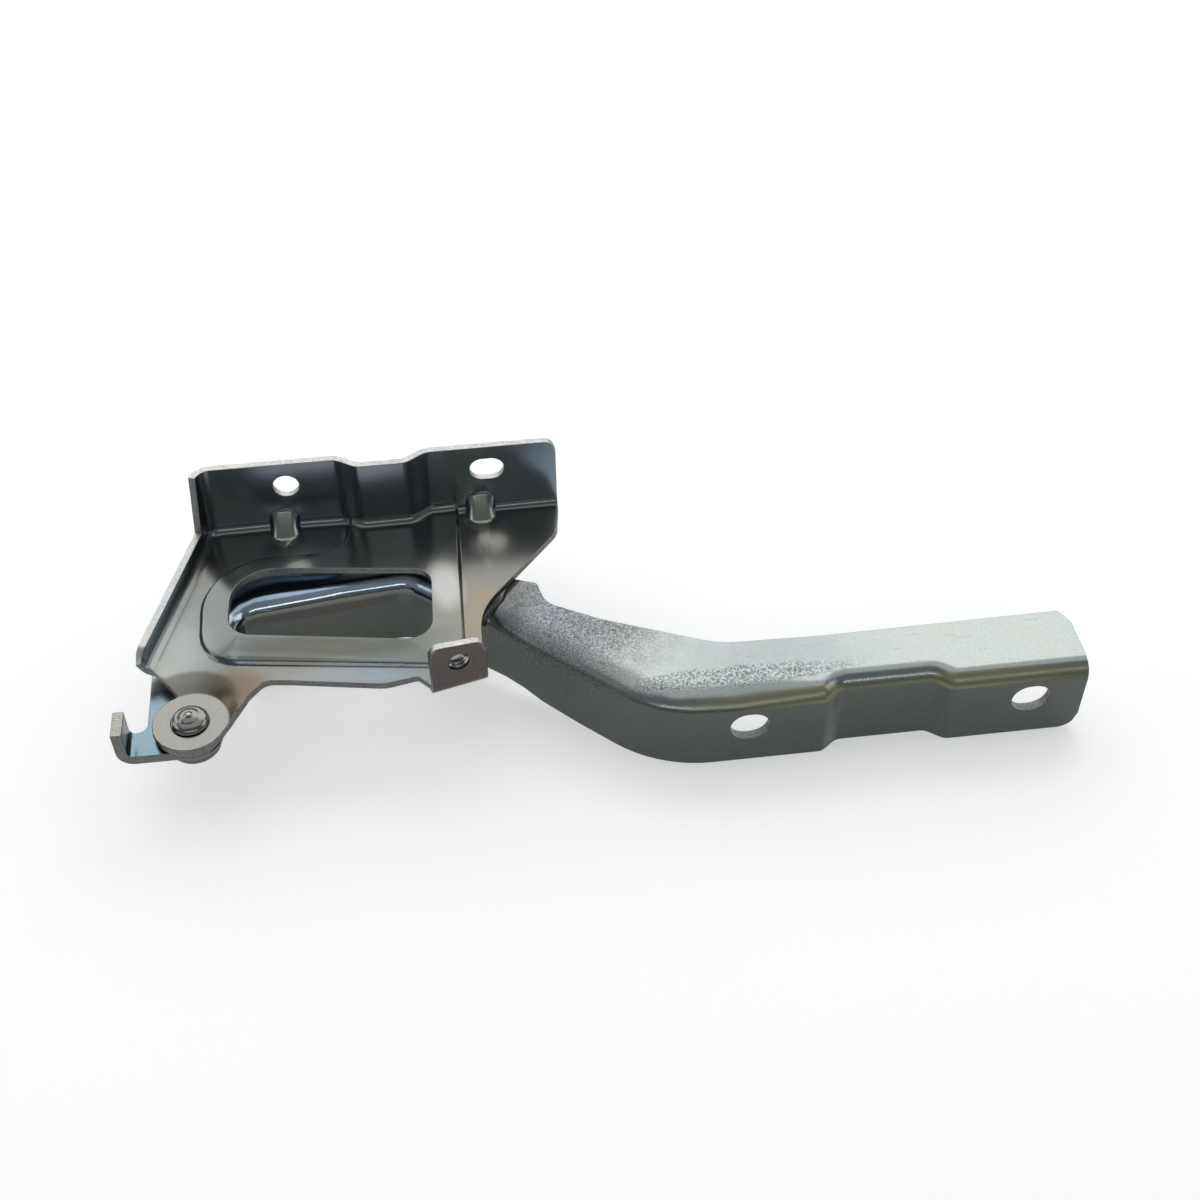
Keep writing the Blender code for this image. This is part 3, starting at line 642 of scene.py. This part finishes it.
armLook = {
    "name": "gooseneck_arm",
    "node": "bonnet_arm",
    "body": "arm",
    "slot": "arm_zinc",
    "sharp": 48.0,
    "steepWall": 6e-6,
    "round": 0.0003,
    "folds": {"angle": 115.0, "reach": 0.0011, "rounds": 4},
    "apron": {"hinge": -0.008, "facing": -0.5, "left": (0.036, 0.050),
              "right": (0.084, 0.106), "level": -0.0172, "forward": 0.0024},
    # The arm's upright faces, the hanging flange most of all, are painted dark: painted
    # shade by facing.
    "skin": {"Upper": (0.46, 0.495, 0.475, 1.0), "Upright": (0.103, 0.112, 0.104, 1.0),
             "Turn": (0.095, 0.11, 0.092, 1.0), "Patches": 0.3, "Grain": 0.06,
             "Speckle": 0.25, "Rough": 0.22},
    "stainsAndPaintedLight": [
        {"at": (0.185, 0.004, 0.012), "reach": (0.050, 0.030, 0.03),
         "soft": 0.9, "uneven": 0.5,
         "to": {"Upper": (0.37, 0.41, 0.41, 1.0)}},
        {"at": (0.128, 0.030, 0.011), "reach": (0.040, 0.040, 0.03),
         "soft": 0.8, "uneven": 0.4,
         "to": {"Upper": (0.27, 0.28, 0.28, 1.0), "Grain": 0.75, "Rough": 0.30}},
        # Dark where the arm runs in under the bracket's right edge: painted shade.
        {"at": (0.104, 0.040, 0.011), "reach": (0.014, 0.018, 0.03),
         "soft": 0.8, "uneven": 0.4,
         "to": {"Upper": (0.17, 0.17, 0.17, 1.0)}},
        {"at": (0.172, -0.003, 0.012), "reach": (0.046, 0.0055, 0.006),
         "soft": 0.4, "uneven": 0.5,
         "to": {"Grain": 0.8, "Rough": 0.30}},
        {"at": (0.042, 0.060, 0.0090), "reach": (0.055, 0.032, 0.0070),
         "soft": 0.8, "uneven": 0.3,
         "to": {"Upper": (0.50, 0.62, 0.80, 1.0), "Grain": 0.0, "Rough": 0.16}},
        # Under the window the arm's bend gets a bright base colour, a painted highlight,
        # and its flange face is painted darker: painted shade.
        {"at": (0.045, 0.058, 0.0030), "reach": (0.060, 0.040, 0.0052),
         "soft": 0.35, "uneven": 0.1,
         "to": {"Upper": (0.78, 0.88, 1.0, 1.0), "Turn": (0.15, 0.155, 0.14, 1.0),
                "Upright": (0.085, 0.085, 0.08, 1.0), "Grain": 0.0, "Rough": 0.11,
                "Speckle": 0.0}},
        # Olive tone along the right part of the bend; the painted shade at the bend's foot
        # is lighter there.
        {"at": (0.225, -0.0125, 0.0092), "reach": (0.080, 0.0042, 0.0034),
         "soft": 0.3, "uneven": 0.1,
         "to": {"Upper": (0.44, 0.44, 0.31, 1.0), "Upright": (0.125, 0.13, 0.095, 1.0),
                "Turn": (0.18, 0.18, 0.12, 1.0), "Rough": 0.34}},
        {"at": (0.138, 0.046, 0.011), "reach": (0.034, 0.012, 0.02),
         "soft": 0.7, "uneven": 0.5,
         "to": {"Upper": (0.27, 0.265, 0.255, 1.0), "Grain": 0.8, "Rough": 0.32}},
        # Darker where the arm's web runs under the bracket's seat: painted shade.
        {"at": (-0.0125, 0.0175, 0.0085), "reach": (0.009, 0.0095, 0.008),
         "soft": 0.6, "uneven": 0.5,
         "to": {"Upper": (0.19, 0.20, 0.215, 1.0), "Grain": 0.3}},
        {"at": (-0.014, 0.0, 0.010), "reach": (0.016, 0.020, 0.02),
         "soft": 0.4, "uneven": 0.4,
         "to": {"Upper": (0.22, 0.30, 0.35, 1.0), "Grain": 0.1, "Rough": 0.18}},
    ],
    # Sheared edges: pale where they face up and dark where they face sideways, painted
    # light and shade by facing.
    "edge": {"Upper": (0.50, 0.50, 0.46, 1.0), "Upright": (0.17, 0.17, 0.16, 1.0),
             "Turn": (0.17, 0.17, 0.16, 1.0), "Patches": 0.2, "Grain": 0.35,
             "Speckle": 0.5, "Rough": 0.46},
}
armSkin = metalMaterial(
    "armZinc", zincSkin, armLook["skin"], relief["arm"], armLook["stainsAndPaintedLight"]
)
armEdge = metalMaterial("armShearedEdge", zincSkin, armLook["edge"], relief["sheared"])
arm = dressSheet(armLook, armSkin, armEdge)
print("arm dressed:", len(arm.data.polygons), "faces")


def finishTurned(bm, look, skin):
    bmesh.ops.remove_doubles(bm, verts=bm.verts, dist=look["weld"])
    bmesh.ops.recalc_face_normals(bm, faces=bm.faces)
    mesh = bpy.data.meshes.new(look["name"])
    bm.to_mesh(mesh)
    bm.free()
    mesh.materials.append(skin)
    mesh.shade_smooth()
    mesh.set_sharp_from_angle(angle=radians(look["crease"]))
    piece = bpy.data.objects.new(look["name"], mesh)
    bpy.context.scene.collection.objects.link(piece)
    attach(piece, look["body"])
    return piece


# Rivet: a spun profile, in millimetres. The dome has a step and a nipple, left by the
# tool that closed it, and its heights are from the seat's face.
rivetLook = {
    "name": "domed_rivet",
    "node": "pivot_rivet",
    "body": "bracket",
    "slot": "bright_steel",
    "height": 3.6,
    "dome": [(0.0, 3.6), (0.45, 3.56), (0.85, 3.40), (1.15, 3.12), (1.4, 2.92),
             (1.75, 2.84), (2.3, 2.78), (2.8, 2.64), (3.2, 2.40), (3.5, 2.22),
             (3.85, 2.14), (4.4, 2.02), (4.9, 1.80), (5.35, 1.48), (5.7, 1.08),
             (5.98, 0.66), (6.16, 0.3), (6.2, 0.1), (6.1, 0.0), (4.5, 0.0)],
    "head": [(4.5, 3.0), (7.85, 3.0), (8.0, 2.85), (8.0, 0.6), (7.4, 0.0), (0.0, 0.0)],
    "steps": 72,
    "weld": 1e-7,
    "crease": 38.0,
    "skin": {"Tone": (0.30, 0.29, 0.27, 1.0), "Rings": 0.0, "Rough": 0.12},
    # The rivet is painted dark low down, under the arm: painted shade.
    "stainsAndPaintedLight": [{"at": (0.0, 0.0, 0.001), "reach": (0.02, 0.02, 0.006),
                "soft": 0.2, "uneven": 0.0,
                "to": {"Tone": (0.13, 0.13, 0.12, 1.0), "Rough": 0.35}},
               # A bright, smoother crown on top of the dome: a painted highlight in the
               # colour, with a smoother finish.
               {"at": (0.0, 0.0, 0.0178), "reach": (0.0036, 0.0036, 0.003),
                "soft": 0.6, "uneven": 0.0,
                "to": {"Tone": (0.80, 0.79, 0.76, 1.0), "Rough": 0.09}}],
}
bm = bmesh.new()
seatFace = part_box("pivot_rivet")[1].z * 1000.0 - rivetLook["height"]
outline = [(r, seatFace + z) for r, z in rivetLook["dome"]] + rivetLook["head"]
points = [bm.verts.new((r / 1000.0, 0.0, z / 1000.0)) for r, z in outline]
ribs = [bm.edges.new(pair) for pair in zip(points, points[1:])]
bmesh.ops.spin(
    bm, geom=points + ribs, cent=(0.0, 0.0, 0.0), axis=(0.0, 0.0, 1.0), angle=2.0 * pi,
    steps=rivetLook["steps"], use_merge=True,
)
rivetSkin = metalMaterial(
    "rivetSteel", turnedSkin, rivetLook["skin"], relief["turned"], rivetLook["stainsAndPaintedLight"]
)
rivet = finishTurned(bm, rivetLook, rivetSkin)
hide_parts(rivetLook["node"])
print("rivet spun")

# Thread in the tab's hole: one ridge of three corners that climbs along the hole.
threadLook = {
    "name": "tab_thread",
    "body": "bracket",
    "slot": "bracket_zinc",
    "pitch": 0.00125,
    "turns": 2.7,
    "steps": 40,  # per turn
    "start": -0.0023,
    "root": 0.00343,
    "crest": 0.00286,
    "half": 0.00044,
    "weld": 1e-7,
    "crease": 30.0,
    "skin": {"Tone": (0.42, 0.42, 0.41, 1.0), "Rings": 0.0, "Rough": 0.12},
}
bm = bmesh.new()
corners = [
    bm.verts.new((threadLook[side], 0.0, threadLook["start"] + i * threadLook["half"]))
    for i, side in enumerate(("root", "crest", "root"))
]
ribs = [bm.edges.new((corners[i], corners[(i + 1) % 3])) for i in range(3)]
steps = round(threadLook["turns"] * threadLook["steps"])
bmesh.ops.spin(
    bm, geom=corners + ribs, cent=(0.0, 0.0, 0.0), axis=(0.0, 0.0, 1.0),
    dvec=(0.0, 0.0, threadLook["pitch"] / threadLook["steps"]),
    angle=2.0 * pi * threadLook["turns"], steps=steps,
)
bmesh.ops.holes_fill(bm, edges=[e for e in bm.edges if e.is_boundary], sides=3)
hole = bracketLook["hole"]
inward = -Vector(hole["axis"])
along = inward.to_track_quat("Z", "Y").to_matrix().to_4x4()
seating = Matrix.Translation(hole["at"]) @ along
bmesh.ops.transform(bm, matrix=seating, verts=bm.verts)
threadSkin = metalMaterial("threadSteel", turnedSkin, threadLook["skin"], relief["turned"])
thread = finishTurned(bm, threadLook, threadSkin)
print("thread cut:", len(thread.data.polygons), "faces")

# Washers and bush keep their solids.
smallLook = {
    # The backing washer is painted dark: painted shade under the arm.
    "washer": {"Tone": (0.20, 0.20, 0.19, 1.0), "Rings": 0.3, "Rough": 0.32},
    "bronze": {"Tone": (0.52, 0.37, 0.20, 1.0), "Rings": 0.3, "Rough": 0.3},
}
washerSkin = metalMaterial(
    "washerSteel", turnedSkin, smallLook["washer"], relief["washer"]
)
bronzeSkin = metalMaterial(
    "bushBronze", turnedSkin, smallLook["bronze"], relief["washer"]
)
smallSkins = {
    "backing_washer": washerSkin,
    "thrust_washer": bronzeSkin,
    "pivot_bush": bronzeSkin,
}
for name, skin in smallSkins.items():
    for slot in nodes[name].material_slots:
        slot.material = skin
print("small pieces finished")

# Floor, lamps and world.
studio = {
    "floorReach": 6.0,
    "floorTone": (0.90, 0.90, 0.90, 1.0),
    "floorRough": 0.9,
    "floorLift": 0.42,  # added where the floor is seen or mirrored; shadows stay
    "skyTone": (0.86, 0.93, 1.0, 1.0),
    "sky": 0.20,
    "behind": {"place": (0.16, 1.03, 0.83), "size": (2.3, 1.0), "glow": 1.35},
    "above": {"place": (0.12, 0.25, 1.18), "size": (1.6, 0.85), "glow": 0.5},
    "front": {"place": (0.10, -1.35, 0.98), "size": (1.9, 0.17), "glow": 1.9},
    "left": {"place": (-1.10, 0.25, 0.65), "size": (0.9, 0.8), "glow": 1.0},
    "right": {"place": (1.35, 0.20, 0.65), "size": (0.9, 0.8), "glow": 1.0},
}
target = (cadBox[0] + cadBox[1]) / 2.0


def softbox(name, look):
    # Lamp that faces the part, with glow as its radiance.
    lamp = bpy.data.lights.new(name, "AREA")
    lamp.shape = "RECTANGLE"
    lamp.size, lamp.size_y = look["size"]
    lamp.energy = look["glow"] * pi * lamp.size * lamp.size_y
    thing = bpy.data.objects.new(name, lamp)
    bpy.context.scene.collection.objects.link(thing)
    thing.location = look["place"]
    thing.rotation_euler = (target - thing.location).to_track_quat("-Z", "Y").to_euler()


for side in ("behind", "above", "front", "left", "right"):
    softbox(side + "Softbox", studio[side])

world = bpy.data.worlds.new("studio")
bpy.context.scene.world = world
world.use_nodes = True
sky = world.node_tree.nodes["Background"]
sky.inputs["Color"].default_value = studio["skyTone"]
sky.inputs["Strength"].default_value = studio["sky"]

floorMesh = bpy.data.meshes.new("floor")
bm = bmesh.new()
bmesh.ops.create_grid(bm, x_segments=1, y_segments=1, size=studio["floorReach"])
bmesh.ops.translate(bm, verts=bm.verts, vec=(0.0, 0.0, cadBox[0].z))
bm.to_mesh(floorMesh)
bm.free()
floor = bpy.data.objects.new("floor", floorMesh)
bpy.context.scene.collection.objects.link(floor)
floorPaint = bpy.data.materials.new("floorPaint")
floorPaint.use_nodes = True
floorTree = floorPaint.node_tree
floorShader = floorTree.nodes["Principled BSDF"]
floorShader.inputs["Base Color"].default_value = studio["floorTone"]
floorShader.inputs["Roughness"].default_value = studio["floorRough"]
floorShader.inputs["Emission Color"].default_value = (1.0, 1.0, 1.0, 1.0)
path = addNode(floorTree, "ShaderNodeLightPath", (-900, -300)).outputs
seen = mathNode(
    floorTree, "ADD", (-700, -300), path["Is Camera Ray"], path["Is Glossy Ray"]
)
seen = mathNode(floorTree, "ADD", (-500, -300), seen, path["Is Transmission Ray"])
lift = mathNode(floorTree, "MULTIPLY", (-300, -300), seen, studio["floorLift"])
floorTree.links.new(lift, floorShader.inputs["Emission Strength"])
floorMesh.materials.append(floorPaint)
print("studio lit")
